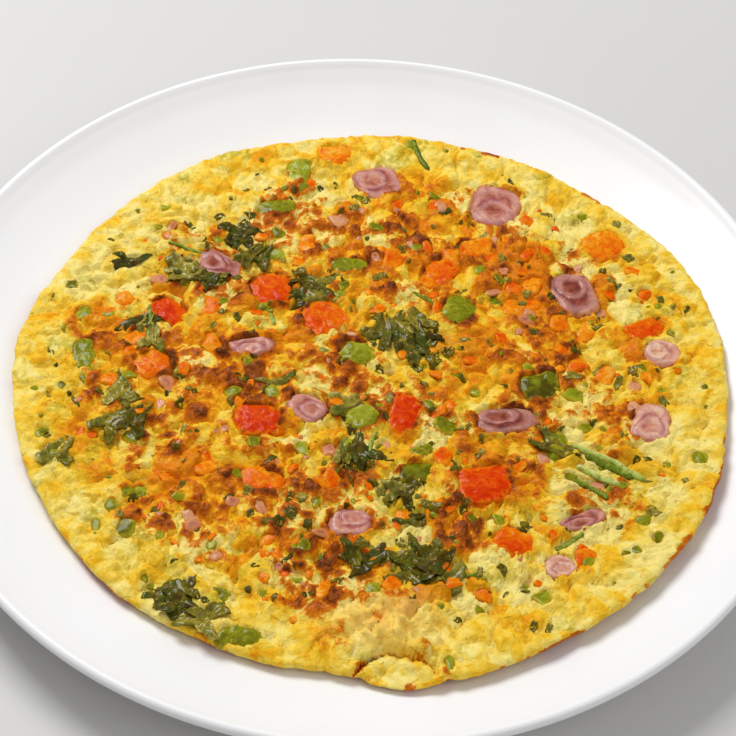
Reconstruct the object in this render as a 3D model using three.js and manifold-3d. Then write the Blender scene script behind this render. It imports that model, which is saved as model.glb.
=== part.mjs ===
// A round vegetable omelette lying open on a white dinner plate.
// Millimetres, +Z up. The origin is on the table under the middle of the plate, and -Y is the diner's side.
// The egg is one solid with a pocket for each large piece of onion, tomato and green pepper set in its top.

import * as THREE from "three";
import { mergeVertices } from "three/addons/utils/BufferGeometryUtils.js";
import Module from "manifold-3d";

const wasm = await Module();
wasm.setup();

// ---- driving dimensions ----

const GAP = 0.3; // clearance between solids that lie on or in each other

const PLATE = {
  radius: 135,
  height: 20,
  wellRadius: 92, // the flat middle of the top
  wellFloor: 6.5, // its height above the table
  steepness: 1.6, // power of the rim's rise outside the well
  wall: 4.2,
  lipWall: 3.4,
  footRadius: 84,
  footWidth: 4,
  footDepth: 2.4, // how far the middle of the underside is recessed
  segments: 64,
};

const OMELETTE = {
  x: 4.5,
  y: -3.2,
  radius: 107,
  thick: 8, // in the middle
  thinning: 2.8, // lost on the way to the edge
  taper: 1.6, // lost once more in the last tenth
  segments: 64,
};

// The edge lifts off the plate in places: centre of the stretch, its half width in degrees, and the lift.
const EDGE_LIFTS = [
  { at: -35, reach: 36, lift: 2.2 },
  { at: 172, reach: 24, lift: 1.0 },
  { at: 75, reach: 30, lift: 0.8 },
];
const LEAST_LIFT = 0.4;

// The outline bulges out in places: centre of the stretch, its half width in degrees, and how far.
const EDGE_BULGES = [
  { at: 168, reach: 42, by: 3.5 },
  { at: 122, reach: 20, by: 1.0 },
  { at: 38, reach: 32, by: 2.4 },
];

// At the front the edge is puffed up, and a tongue of egg sticks out from under the puff.
const PUFF = { x: 10, y: -91, halfLength: 15, halfDepth: 8, rise: 2.6 };
const TONGUE = { at: -83, reach: 8, length: 1.8, notch: 2.4, drop: 3.0, depth: 8 };

// Large pieces set in the egg. Each kind is a rounded block: `corner` is the power of its outline,
// `bend` curves it along its length, and `dome` is how much its middle stands above its shoulder.
const KINDS = {
  tomato: { thick: 3.8, corner: 3.2, bend: 0.0, dome: 0.4, proud: 0.5, colour: 0xd9481c, roughness: 0.25 },
  onion: { thick: 3.4, corner: 2.3, bend: 0.012, dome: 0.7, proud: 0.5, colour: 0xb98388, roughness: 0.3 },
  pepper: { thick: 3.4, corner: 2.8, bend: 0.018, dome: 0.5, proud: 0.5, colour: 0x6f8420, roughness: 0.35 },
};

// [x, y, length, width, turn in degrees]
const PIECES = {
  tomato: [
    [-30, 29, 13, 12, 10],
    [-61, 20, 12, 8, -40],
    [-30, -23, 14, 11, -5],
    [13, -18, 14, 9, 80],
    [37, -42, 16, 13, 15],
    [87, 23, 12, 7, 28],
    [75, 58, 13, 12, 40],
    [-13, 19, 12, 12, 25],
    [-13.5, 93, 10, 9, 0],
    [34, 53, 12, 8, 12],
    [-64, -2, 11, 10, 35],
    [-27, -44, 13, 8, -10],
    [46, -61, 12, 8, -20],
    [23, 42, 11, 10, 55],
  ],
  onion: [
    [2, 81, 15, 14, 20],
    [40, 73, 19, 16, 65],
    [65, 36, 18, 14, 110],
    [-47, 40, 15, 10, -25],
    [-34, 6, 14, 7, 8],
    [-16, -18, 12, 9, -30],
    [43, -18, 18, 10, 5],
    [87, -15, 14, 12, 75],
    [-1, -58, 13, 9, 0],
    [66, -52, 14, 6, 28],
    [92, 13, 11, 10, 30],
    [59, -69, 9, 8, 0],
  ],
  pepper: [
    [29, 25, 12, 10, 70],
    [-24.5, 85, 10, 8, 80],
    [-31, 67, 13, 6, 8],
    [54, -4, 12, 10, 20],
    [-6, 42, 12, 7, 0],
    [-85, 1, 12, 7, 95],
    [-2, 5, 11, 8, -10],
    [1, -20, 10, 9, 40],
    [-28.5, -97.5, 9, 6, -12],
    [17, -39, 10, 7, 10],
  ],
};
const PIECE_SEGMENTS = 12;

// ---- shared maths ----

const radians = THREE.MathUtils.degToRad;
const smooth = (low, high, value) => THREE.MathUtils.smoothstep(value, low, high);
const mix = THREE.MathUtils.lerp;

// 1 at an angle, falling to 0 over `reach` degrees on each side; angles in radians but for `at` and `reach`
function bump(angle, at, reach) {
  const turn = angle - radians(at);
  const away = Math.atan2(Math.sin(turn), Math.cos(turn)) / radians(reach);
  return Math.exp(-away * away);
}

// A revolved profile of [radius, height] points, turned so that its axis is +Z, as one closed mesh
function revolved(points, segments) {
  const geometry = new THREE.LatheGeometry(
    points.map(([r, z]) => new THREE.Vector2(r, z)),
    segments,
  );
  geometry.rotateX(Math.PI / 2);
  geometry.deleteAttribute("normal");
  geometry.deleteAttribute("uv");
  return mergeVertices(geometry, 1e-4);
}

// Moves every vertex of a geometry to where(x, y, z) says
function reshaped(geometry, where) {
  const position = geometry.getAttribute("position");
  for (let i = 0; i < position.count; i++) {
    const [x, y, z] = where(position.getX(i), position.getY(i), position.getZ(i));
    position.setXYZ(i, x, y, z);
  }
  return geometry;
}

// ---- plate ----

// Height of the plate's upper surface at a distance from its middle
function plateTop(r) {
  const share = Math.max(0, (r - PLATE.wellRadius) / (PLATE.radius - PLATE.wellRadius));
  return PLATE.wellFloor + (PLATE.height - PLATE.wellFloor) * share ** PLATE.steepness;
}

function plateProfile() {
  const { radius, wellRadius, wall, lipWall, footRadius, footWidth, footDepth } = PLATE;
  const lip = lipWall / 2;
  const lipCentre = [radius - lip, PLATE.height - lip];
  const underside = (r) => plateTop(r) - mix(wall, lipWall, smooth(footRadius, radius, r));
  const profile = [
    [0, footDepth],
    [footRadius - footWidth - 2.2, footDepth],
    [footRadius - footWidth - 0.6, footDepth - 0.9],
    [footRadius - footWidth, 0],
    [footRadius, 0],
    [footRadius + 1.4, 1.4],
  ];
  const underSteps = 5;
  for (let i = 0; i <= underSteps; i++) {
    const r = mix(footRadius + 3, radius - 4, i / underSteps);
    profile.push([r, underside(r)]);
  }
  const lipSteps = 3;
  for (let i = 0; i <= lipSteps; i++) {
    const angle = radians(mix(-50, 100, i / lipSteps));
    profile.push([lipCentre[0] + lip * Math.cos(angle), lipCentre[1] + lip * Math.sin(angle)]);
  }
  const topSteps = 6;
  for (let i = topSteps - 1; i >= 0; i--) {
    const r = mix(wellRadius, radius - 3.4, i / (topSteps - 1));
    profile.push([r, plateTop(r)]);
  }
  profile.push([0, PLATE.wellFloor]);
  return profile;
}

// ---- egg ----

// Distance from the omelette's middle to its edge, at an angle from +X
function edgeRadius(angle) {
  return (
    EDGE_BULGES.reduce((sum, s) => sum + s.by * bump(angle, s.at, s.reach), OMELETTE.radius) +
    0.4 * Math.cos(2 * angle + 1.2) +
    0.6 * Math.cos(4 * angle - 1.9) +
    0.7 * Math.cos(7 * angle - 2.9) +
    0.3 * Math.sin(13 * angle) +
    TONGUE.length * bump(angle, TONGUE.at, TONGUE.reach) -
    TONGUE.notch * bump(angle, TONGUE.at - 1.5 * TONGUE.reach, 0.5 * TONGUE.reach)
  );
}

// Broad swells of the top, within about 1 mm either way
function swell(x, y) {
  return (
    0.45 * Math.sin(x / 9.1 + 0.7) * Math.sin(y / 8.3 - 0.4) +
    0.35 * Math.sin((x + y) / 6.7 + 1.9) * Math.cos((x - y) / 11.3) +
    0.25 * Math.sin(x / 4.4 - y / 15.0) * Math.cos(y / 4.9 + x / 21.0)
  );
}

// Height of the egg's underside: on the plate, and lifted off it near parts of the edge
function eggBottom(x, y) {
  const angle = Math.atan2(y - OMELETTE.y, x - OMELETTE.x);
  const share = Math.hypot(x - OMELETTE.x, y - OMELETTE.y) / edgeRadius(angle);
  const lift = EDGE_LIFTS.reduce((sum, s) => sum + s.lift * bump(angle, s.at, s.reach), LEAST_LIFT);
  return plateTop(Math.hypot(x, y)) + GAP + lift * smooth(0.78, 1.0, share);
}

// Height of the egg's top, without pockets
function eggTop(x, y) {
  const angle = Math.atan2(y - OMELETTE.y, x - OMELETTE.x);
  const share = Math.hypot(x - OMELETTE.x, y - OMELETTE.y) / edgeRadius(angle);
  const puff = Math.hypot((x - PUFF.x) / PUFF.halfLength, (y - PUFF.y) / PUFF.halfDepth);
  const tongueStart = 1 - TONGUE.depth / OMELETTE.radius;
  return (
    eggBottom(x, y) +
    OMELETTE.thick -
    OMELETTE.thinning * smooth(0.3, 0.95, share) -
    OMELETTE.taper * smooth(0.86, 1.0, share) +
    swell(x, y) * smooth(1.0, 0.9, share) +
    PUFF.rise * Math.exp(-puff * puff) -
    TONGUE.drop *
      bump(angle, TONGUE.at, TONGUE.reach * 1.2) *
      smooth(tongueStart, tongueStart + 0.03, share)
  );
}

// The egg: a revolved disc whose profile gives each point's share of the edge radius and its level,
// 0 on the underside and 1 on the top
function eggGeometry() {
  const shares = [0.18, 0.34, 0.48, 0.6, 0.7, 0.79, 0.86, 0.92, 0.965];
  const underShares = [0.45, 0.75, 0.88];
  const edgeSteps = 4;
  const profile = [[0, 0], ...underShares.map((share) => [share, 0])];
  for (let i = 0; i <= edgeSteps; i++) {
    const turn = Math.PI * (i / edgeSteps - 0.5);
    profile.push([0.975 + 0.025 * Math.cos(turn), 0.5 + 0.5 * Math.sin(turn)]);
  }
  profile.push(...shares.reverse().map((share) => [share, 1]), [0, 1]);
  return reshaped(revolved(profile, OMELETTE.segments), (u, v, level) => {
    const angle = Math.atan2(v, u);
    const r = Math.hypot(u, v) * edgeRadius(angle);
    const x = OMELETTE.x + r * Math.cos(angle);
    const y = OMELETTE.y + r * Math.sin(angle);
    return [x, y, mix(eggBottom(x, y), eggTop(x, y), level)];
  });
}

// ---- pieces set in the egg ----

// A profile of [share, height] revolved, then stretched to a piece's outline with `extra` all round,
// bent, turned and put in its place
function pieceGeometry(profile, kind, [x, y, length, width, turn], extra) {
  const { corner, bend } = KINDS[kind];
  const a = length / 2 + extra;
  const b = width / 2 + extra;
  const geometry = reshaped(revolved(profile, PIECE_SEGMENTS), (u, v, z) => {
    const angle = Math.atan2(v, u);
    const c = Math.cos(angle);
    const s = Math.sin(angle);
    const outline = (Math.abs(c / a) ** corner + Math.abs(s / b) ** corner) ** (-1 / corner);
    const along = Math.hypot(u, v) * outline * c;
    const across = Math.hypot(u, v) * outline * s;
    return [along, across + bend * (along * along - (a * a) / 3), z];
  });
  return geometry.rotateZ(radians(turn)).translate(x, y, 0);
}

function pieceSolid(kind, place) {
  const { thick, dome, proud } = KINDS[kind];
  const shoulder = eggTop(place[0], place[1]) + proud - dome;
  const floor = eggTop(place[0], place[1]) + proud - thick;
  const profile = [
    [0, floor],
    [0.88, floor],
    [1, mix(floor, shoulder, 0.55)],
    [0.86, shoulder],
    [0, shoulder + dome],
  ];
  return pieceGeometry(profile, kind, place, 0);
}

function pocketSolid(kind, place) {
  const { thick, proud } = KINDS[kind];
  const floor = eggTop(place[0], place[1]) + proud - thick - GAP;
  const above = 30;
  const profile = [
    [0, floor],
    [1, floor],
    [1, above],
    [0, above],
  ];
  return pieceGeometry(profile, kind, place, GAP + 0.1);
}

// ---- cutting ----

function toManifold(geometry) {
  return new wasm.Manifold(
    new wasm.Mesh({
      numProp: 3,
      vertProperties: new Float32Array(geometry.getAttribute("position").array),
      triVerts: new Uint32Array(geometry.index.array),
    }),
  );
}

function toGeometry(manifold) {
  const mesh = manifold.getMesh();
  const geometry = new THREE.BufferGeometry();
  geometry.setAttribute("position", new THREE.BufferAttribute(mesh.vertProperties, 3));
  geometry.setIndex(new THREE.BufferAttribute(mesh.triVerts, 1));
  geometry.computeVertexNormals();
  return geometry;
}

function eggWithPockets() {
  let egg = toManifold(eggGeometry());
  for (const [kind, places] of Object.entries(PIECES)) {
    for (const place of places) {
      egg = egg.subtract(toManifold(pocketSolid(kind, place)));
    }
  }
  return toGeometry(egg);
}

// ---- the dish ----

function addMesh(group, name, geometry, colour, roughness) {
  const material = new THREE.MeshStandardMaterial({ color: colour, roughness, metalness: 0 });
  const mesh = new THREE.Mesh(geometry, material);
  mesh.name = name;
  group.add(mesh);
}

const dish = new THREE.Group();
addMesh(dish, "plate", revolved(plateProfile(), PLATE.segments), 0xf4f4f2, 0.15);
addMesh(dish, "omelette", eggWithPockets(), 0xe2b43a, 0.5);
for (const [kind, places] of Object.entries(PIECES)) {
  places.forEach((place, i) => {
    const name = `${kind}_${String(i + 1).padStart(2, "0")}`;
    addMesh(dish, name, pieceSolid(kind, place), KINDS[kind].colour, KINDS[kind].roughness);
  });
}

export default dish;
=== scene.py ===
"""A round, open vegetable omelette on a plain white dinner plate.

Lengths in this script are in millimetres, in the part's own frame: +Z is up, the origin is on the table under
the middle of the plate, and -Y is the diner's side. new_piece() turns them into Blender's metres.
Colours are sRGB from 0 to 255, as they look under the studio light.
"""

import math
from collections import namedtuple

import bpy
import numpy as np
from mathutils import Matrix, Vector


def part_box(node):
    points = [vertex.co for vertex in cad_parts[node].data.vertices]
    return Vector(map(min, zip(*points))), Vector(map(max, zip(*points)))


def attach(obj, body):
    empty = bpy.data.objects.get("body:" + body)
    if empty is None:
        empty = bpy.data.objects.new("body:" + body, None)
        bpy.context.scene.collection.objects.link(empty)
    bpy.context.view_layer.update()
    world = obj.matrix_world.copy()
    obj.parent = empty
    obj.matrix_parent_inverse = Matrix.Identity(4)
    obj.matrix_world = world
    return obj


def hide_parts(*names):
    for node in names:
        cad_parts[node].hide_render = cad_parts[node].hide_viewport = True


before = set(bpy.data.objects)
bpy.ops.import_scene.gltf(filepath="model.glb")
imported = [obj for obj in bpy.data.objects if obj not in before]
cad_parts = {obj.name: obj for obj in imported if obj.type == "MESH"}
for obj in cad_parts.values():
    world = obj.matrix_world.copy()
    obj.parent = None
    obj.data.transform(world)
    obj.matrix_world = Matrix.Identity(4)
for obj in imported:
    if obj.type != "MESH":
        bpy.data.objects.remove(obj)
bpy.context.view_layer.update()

MM = 0.001
BODY = "root"


# ---- repeatable noise on the plane ----


def lattice(i, j, seed):
    """A repeatable number from 0 to 1 for each whole-number lattice point."""
    mask = 0xFFFFFFFF
    n = (i * 374761393 + j * 668265263 + seed * 974634777) & mask
    n = ((n ^ (n >> 13)) * 1274126177) & mask
    n = ((n ^ (n >> 15)) * 461845907) & mask
    return ((n ^ (n >> 16)) & mask) / mask


def noise(x, y, size, seed):
    """Smooth noise, mostly within -1 to 1, with swells about `size` across."""
    u, v = x / size + 31.7 * seed, y / size - 17.3 * seed
    i, j = np.floor(u).astype(np.int64), np.floor(v).astype(np.int64)
    fu, fv = u - i, v - j
    total = 0.0
    for di in (0, 1):
        for dj in (0, 1):
            angle = 2 * np.pi * lattice(i + di, j + dj, seed)
            slope = np.cos(angle) * (fu - di) + np.sin(angle) * (fv - dj)
            su = fu if di else 1 - fu
            sv = fv if dj else 1 - fv
            total = total + slope * fade(su) * fade(sv)
    return 1.6 * total


def fade(t):
    return t * t * t * (t * (6 * t - 15) + 10)


def layered(x, y, size, seed, layers=3):
    """Noise with smaller noise on it: each layer is half the size and 0.55 of the height of the last."""
    return sum(0.55**k * noise(x, y, size / 2**k, seed + k) for k in range(layers))


def cells(x, y, size, seed):
    """Distances to the nearest two scattered centres, in sizes, and the nearest one's own random number."""
    u, v = x / size, y / size
    i, j = np.floor(u).astype(np.int64), np.floor(v).astype(np.int64)
    first = np.full(np.shape(u), 9.0)
    second = np.full(np.shape(u), 9.0)
    own = np.zeros(np.shape(u))
    for di in (-1, 0, 1):
        for dj in (-1, 0, 1):
            a, b = i + di, j + dj
            away = np.hypot(a + lattice(a, b, seed) - u, b + lattice(a, b, seed + 1) - v)
            nearer = away < first
            second = np.where(nearer, first, np.minimum(second, away))
            own = np.where(nearer, lattice(a, b, seed + 2), own)
            first = np.where(nearer, away, first)
    return first, second, own


def smooth(low, high, value):
    t = np.clip((value - low) / (high - low), 0, 1)
    return t * t * (3 - 2 * t)


def mix(a, b, share):
    return a + (b - a) * share


def hump(away, reach):
    """1 where `away` is 0, falling softly on both sides, with most of the fall within `reach`."""
    return np.exp(-((away / reach) ** 2))


# ---- meshes ----


def new_piece(name, part, material, replaced=()):
    """A mesh piece that rides on the dish, from points in mm, faces of point numbers and attributes."""
    points, faces, attributes = part
    mesh = bpy.data.meshes.new(name)
    mesh.from_pydata((np.asarray(points) * MM).tolist(), [], faces)
    mesh.update()
    mesh.shade_smooth()
    for key, values in attributes.items():
        values = np.asarray(values, np.float32)
        kind = "FLOAT" if values.ndim == 1 else "FLOAT_VECTOR"
        field = "value" if values.ndim == 1 else "vector"
        mesh.attributes.new(key, kind, "POINT").data.foreach_set(field, values.ravel())
    piece = bpy.data.objects.new(name, mesh)
    bpy.context.scene.collection.objects.link(piece)
    mesh.materials.append(material)
    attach(piece, BODY)
    if replaced:
        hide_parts(*replaced)


def join_parts(parts):
    """Joins (points, faces, attributes) parts into one, with each part's point numbers moved on."""
    points, faces, attributes = [], [], {}
    start = 0
    for part_points, part_faces, part_attributes in parts:
        points.append(part_points)
        faces.extend([tuple(start + p for p in face) for face in part_faces])
        for key, values in part_attributes.items():
            attributes.setdefault(key, []).append(values)
        start += len(part_points)
    return np.vstack(points), faces, {key: np.concatenate(values) for key, values in attributes.items()}


def ring_faces(rings, segments):
    """Quads between closed rings of points, where each ring follows the last in the point list."""
    faces = []
    for k in range(rings - 1):
        for i in range(segments):
            j = (i + 1) % segments
            faces.append((k * segments + i, k * segments + j, (k + 1) * segments + j, (k + 1) * segments + i))
    return faces


def closed_tube(rings, segments):
    """The faces between closed rings of points, and a face over each end."""
    last = (rings - 1) * segments
    ends = [tuple(reversed(range(segments))), tuple(range(last, last + segments))]
    return ring_faces(rings, segments) + ends


# ---- plate ----

PLATE_WELL = 92  # radius of the flat middle of the top
PLATE_WELL_FLOOR = 6.5
PLATE_STEEPNESS = 1.6
PLATE_WALL = 4.2
LIP_WALL = 3.4
LIP_FILLET = 0.55
FOOT_RADIUS = 84
FOOT_WIDTH = 4
FOOT_DEPTH = 2.4
FOOT_SWELL = 0.9  # height of the rounded bottom's middle line
PLATE_SEGMENTS = 240

plate_low, plate_high = (np.array(corner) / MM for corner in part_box("plate"))
PLATE_RADIUS = (plate_high[0] - plate_low[0]) / 2
PLATE_HEIGHT = plate_high[2]


def plate_top(r):
    share = np.clip((r - PLATE_WELL) / (PLATE_RADIUS - PLATE_WELL), 0, None)
    return PLATE_WELL_FLOOR + (PLATE_HEIGHT - PLATE_WELL_FLOOR) * share**PLATE_STEEPNESS


def plate_profile():
    """Points (radius, height) from the middle of the underside, round the lip, to the middle of the top."""
    foot_arc = np.radians(np.linspace(180, 360, 9))
    half, inner = FOOT_WIDTH / 2, FOOT_RADIUS - FOOT_WIDTH
    foot = [(FOOT_RADIUS - half + half * math.cos(a), FOOT_SWELL * (1 + math.sin(a))) for a in foot_arc]
    recess = [(0.01, FOOT_DEPTH), (40, FOOT_DEPTH)]
    recess += [(inner - back, FOOT_DEPTH - drop) for back, drop in ((2.4, 0), (0.8, 0.3), (0.1, 0.9))]
    lip = LIP_WALL / 2
    under = []
    for r in np.linspace(FOOT_RADIUS + 1.6, PLATE_RADIUS - 3.6, 22):
        wall = mix(PLATE_WALL, LIP_WALL, smooth(FOOT_RADIUS, PLATE_RADIUS, r))
        under.append((r, plate_top(r) - wall))
    lip_arc = np.radians(np.linspace(-52, 112, 12))
    edge = [(PLATE_RADIUS - lip + lip * math.cos(a), PLATE_HEIGHT - lip + lip * math.sin(a)) for a in lip_arc]
    top = []
    for r in np.linspace(PLATE_RADIUS - 3.4, PLATE_WELL - 4, 30):
        top.append((r, plate_top(r) + LIP_FILLET * smooth(PLATE_RADIUS - 10, PLATE_RADIUS - 3.2, r)))
    well = [(r, PLATE_WELL_FLOOR) for r in (70, 45, 20, 0.01)]
    return recess + foot + under + edge + top + well


def build_plate():
    profile = plate_profile()
    angle = np.linspace(0, 2 * np.pi, PLATE_SEGMENTS, endpoint=False)
    rings = [np.stack([r * np.cos(angle), r * np.sin(angle), np.full_like(angle, z)], 1) for r, z in profile]
    part = np.vstack(rings), closed_tube(len(rings), PLATE_SEGMENTS), {}
    new_piece("plate_glazed", part, porcelain(), ["plate"])


# ---- pieces set in the egg, from their CAD solids ----

Footprint = namedtuple("Footprint", "node x y half_length half_width turn")


def footprint(node):
    """Where a CAD piece lies, how far it reaches along and across, and its turn."""
    points = np.array([v.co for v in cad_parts[node].data.vertices]) / MM
    flat = points[:, :2]
    middle = (flat.min(0) + flat.max(0)) / 2
    spread = flat - flat.mean(0)
    _, axes = np.linalg.eigh(spread.T @ spread)
    axis = axes[:, 1] * (1 if axes[0, 1] >= 0 else -1)
    along = spread @ axis
    across = spread @ np.array([-axis[1], axis[0]])
    half = (np.ptp(along) / 2, np.ptp(across) / 2)
    return Footprint(node, middle[0], middle[1], half[0], half[1], math.atan2(axis[1], axis[0]))


def local(place, x, y):
    """Coordinates along and across a footprint."""
    c, s = math.cos(place.turn), math.sin(place.turn)
    dx, dy = x - place.x, y - place.y
    return dx * c + dy * s, dy * c - dx * s


def outside(place, x, y):
    """Roughly how far a point is outside a footprint, in mm, and below 0 inside."""
    along, across = local(place, x, y)
    a, b = place.half_length, place.half_width
    share = ((np.abs(along) / a) ** 2.6 + (np.abs(across) / b) ** 2.6) ** (1 / 2.6)
    return (share - 1) * (a + b) / 2


FOOTPRINTS = [footprint(node) for node in sorted(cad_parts) if node not in ("plate", "omelette")]


# ---- the egg's shape ----


class Stamps:
    """Small rims, dips and flat spots of the egg's top round the bits in it, kept on fine square maps."""

    STEP = 0.4
    REACH = 112

    def __init__(self):
        count = int(2 * self.REACH / self.STEP) + 1
        self.lips = np.zeros((count, count))
        self.flats = np.zeros((count, count))

    def cell(self, x, y):
        return (x - EGG_X + self.REACH) / self.STEP, (y - EGG_Y + self.REACH) / self.STEP

    def add(self, x, y, radius, rise, dip):
        """A rim `rise` high round a spot of this radius, and a smooth floor `dip` lower inside it."""
        u, v = self.cell(x, y)
        reach = int((radius + 3) / self.STEP)
        part = slice(max(int(u) - reach, 0), int(u) + reach), slice(max(int(v) - reach, 0), int(v) + reach)
        i, j = np.meshgrid(*(np.arange(self.lips.shape[0])[side] for side in part), indexing="ij")
        away = np.hypot(i - u, j - v) * self.STEP - radius
        inside = smooth(0.3, -0.7, away)
        self.lips[part] += rise * hump(away - 0.3, 0.8) - dip * inside
        self.flats[part] = np.maximum(self.flats[part], inside)

    def at(self, x, y):
        """The rims' and dips' height, and how flat the top is, at points."""
        u, v = self.cell(x, y)
        most = len(self.lips) - 1.001
        u, v = np.clip(u, 0, most), np.clip(v, 0, most)
        i, j = u.astype(int), v.astype(int)
        fu, fv = u - i, v - j
        found = []
        for kept in (self.lips, self.flats):
            near = mix(kept[i, j], kept[i, j + 1], fv)
            far = mix(kept[i + 1, j], kept[i + 1, j + 1], fv)
            found.append(mix(near, far, fu))
        return found


BIT_LIPS = Stamps()

EGG_THICK = 8.0
EGG_THINNING = 2.8
EDGE_TAPER = 1.6  # lost once more in the last tenth
EGG_GAP = 0.3
LEAST_LIFT = 0.4

# Stretches of the edge that stand off the plate, and that stand out or in: angle, reach in degrees and height
EDGE_LIFTS = [(-35, 36, 2.2), (172, 24, 1.0), (85, 26, 1.5)]
EDGE_STEPS = [(-83.5, 3.5, 0.7), (-90.4, 1.4, -1.3), (-77.4, 1.2, -1.1), (96, 8, 1.0)]

PUFF_X, PUFF_Y = 10, -91
PUFF_HALF_WIDTH, PUFF_HALF_DEPTH = 16, 11
FRONT_X, FRONT_Y = 13, -100.3  # the foremost point of the puffed fold
FOLD_X, FOLD_Y = 12, -97  # the middle of the fold and the tongue, which are kept free of small bits
FOLD_HALF_WIDTH, FOLD_HALF_DEPTH = 17, 13
TONGUE_X = 12.5
NUB_X, NUB_Y = 21.2, -100.0
EDGE_KNOTS = 64  # corners of the CAD edge
MEAN_RADIUS = 107
EGG_X, EGG_Y = 4.5, -3.2


def cad_edge():
    """The CAD omelette's edge radius at evenly spaced angles."""
    points = np.array([v.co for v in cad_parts["omelette"].data.vertices]) / MM
    angle = np.arctan2(points[:, 1] - EGG_Y, points[:, 0] - EGG_X)
    radius = np.hypot(points[:, 0] - EGG_X, points[:, 1] - EGG_Y)
    step = 2 * np.pi / EDGE_KNOTS
    knot = np.round(angle / step).astype(int) % EDGE_KNOTS
    edge = np.zeros(EDGE_KNOTS)
    np.maximum.at(edge, knot, radius)
    return edge


EDGE = cad_edge()


def edge_radius(angle):
    """Distance from the egg's middle to its edge: the CAD edge made smooth, with fine wobbles."""
    knots = np.arange(EDGE_KNOTS) * 2 * np.pi / EDGE_KNOTS
    plain = np.interp(angle % (2 * np.pi), knots, EDGE, period=2 * np.pi)
    wobble = 0.45 * edge_noise(angle, 9, 71) + 0.35 * edge_noise(angle, 3.6, 72)
    return plain + wobble - 0.5 + stretches(angle, EDGE_STEPS)


def edge_noise(angle, size, seed):
    """Noise along the egg's edge, without a seam."""
    return noise(MEAN_RADIUS * np.cos(angle), MEAN_RADIUS * np.sin(angle), size, seed)


def bump(angle, at, reach):
    """1 at an angle, falling to 0 over `reach`; `at` and `reach` are in degrees."""
    turn = angle - np.radians(at)
    return hump(np.arctan2(np.sin(turn), np.cos(turn)), np.radians(reach))


def stretches(angle, table):
    """Sum of bumps, each given as angle, reach and height."""
    return sum(height * bump(angle, at, reach) for at, reach, height in table)


def polar(x, y):
    """Angle round the egg's middle, and share of the way from there to its edge."""
    angle = np.arctan2(y - EGG_Y, x - EGG_X)
    return angle, np.hypot(x - EGG_X, y - EGG_Y) / edge_radius(angle)


def egg_underside(x, y):
    angle, share = polar(x, y)
    lift = LEAST_LIFT + stretches(angle, EDGE_LIFTS)
    return plate_top(np.hypot(x, y)) + EGG_GAP + lift * smooth(0.78, 1.0, share)


def spread(spots, x, y):
    """Sum of soft round spots, each given as x, y, reach and strength."""
    return sum(strength * hump(np.hypot(x - sx, y - sy), reach) for sx, sy, reach, strength in spots)


def fried(x, y):
    """0 where the top stays pale, near the edge, to 1 in the fried middle, in ragged patches."""
    angle, share = polar(x, y)
    ragged = share + 0.07 * layered(x, y, 26, 11) + 0.04 * np.cos(angle + 0.3)
    middle = smooth(0.9, 0.74, ragged)
    patches = 0.5 + 0.5 * layered(x, y, 21, 14)
    patches = mix(0.45, 1.0, smooth(0.2, 0.75, patches))
    return np.clip(middle * patches * 0.84 + 0.66 * spread(BROWN_SPOTS, x, y), 0, 1.2)


# Tables of spots: x, y, reach and strength

# Where the pan browned the egg most
BROWN_SPOTS = [
    (-13, 57, 9, 0.8), (12, 58, 8, 0.6), (-34, -5, 14, 0.6), (-49, 0, 9, 0.9), (-64, 18, 8, 0.4),
    (-58, -45, 11, 0.4), (-25, -65, 15, 0.5), (-16, -48, 9, 0.9), (-15, -80, 8, 0.8), (28, -55, 10, 0.9),
    (64, 32, 9, 0.5), (63, 2, 9, 0.8), (48, -14, 8, 0.5), (0, -15, 8, 0.8), (-63, -33, 9, 0.5),
    (48, -33, 7, 0.5), (32, -64, 7, 0.5), (-50, -62, 8, 0.4), (-81, -15, 8, 0.8), (-75, 10, 12, 0.5),
    (79, -12, 9, 0.9), (-8, -83, 6, 0.4), (-2.5, -98.5, 4, 0.8), (-95, 30, 9, 0.5), (64, 47, 8, 0.6),
    (48, 65, 8, 0.8), (0, -47, 8, 0.6), (0, 50, 8, 0.4), (-16, 1, 7, 0.5), (-66, 14, 7, 0.5),
    (80, -48, 8, 0.6), (-15, -80, 6, 0.3),
]

# Burnt flecks on the front fold
BURNT_SPOTS = [(NUB_X, NUB_Y, 3, 0.6), (3.9, -105.5, 1.73, 0.8), (27.2, -106.7, 1.73, 0.8)]

# Where the egg is more orange, or paler if the strength is below 0
ORANGE_SPOTS = [
    (44, 38, 14, 0.7), (66, 48, 9, -0.4), (66, 63, 10, -0.3), (12, 70, 12, 0.35), (34, 82, 10, -0.35),
    (-24, 65, 12, -0.45), (-60, 48, 10, -0.3), (-42, 28, 12, -0.25), (-82, 34, 12, -0.3), (-78, 6, 12, 0.4),
    (-82, -30, 10, 0.6), (-16, 20, 8, -0.3), (-36, 6, 10, 0.4), (2, 17, 7, 0.3), (16, 33, 8, -0.3),
    (86, 3, 12, 0.25), (94, -18, 9, -0.35), (34, 2, 9, 0.3), (-16, -16, 9, -0.6), (16, -18, 8, -0.3),
    (-16, 60, 8, -0.35), (48, 46, 9, 0.4), (-48, 16, 7, -0.4), (-80, 24, 8, 0.35), (-14, -80, 7, -0.4),
    (-32, 31, 7, -0.35), (22, -22, 12, -0.35), (64, -18, 8, -0.25), (76, -40, 14, -0.45),
    (-56, -48, 10, 0.65), (-34, -40, 9, 0.2), (0, -48, 9, -0.35), (48, -46, 8, 0.5), (0, -64, 7, 0.45),
    (-64, -64, 9, -0.35), (-32, -80, 8, 0.25), (46, -68, 9, -0.25), (82, -66, 8, -0.3), (50, 31, 9, 0.4),
    (0, -82, 8, -0.8), (-32, 64, 10, -0.8), (32, 50, 8, 0.3), (-48, 16, 6, 0.2), (-32, -64, 8, -0.3),
    (0, -62, 8, 0.3), (80, 30, 8, -0.25), (64, -50, 8, -0.6),
]

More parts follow.
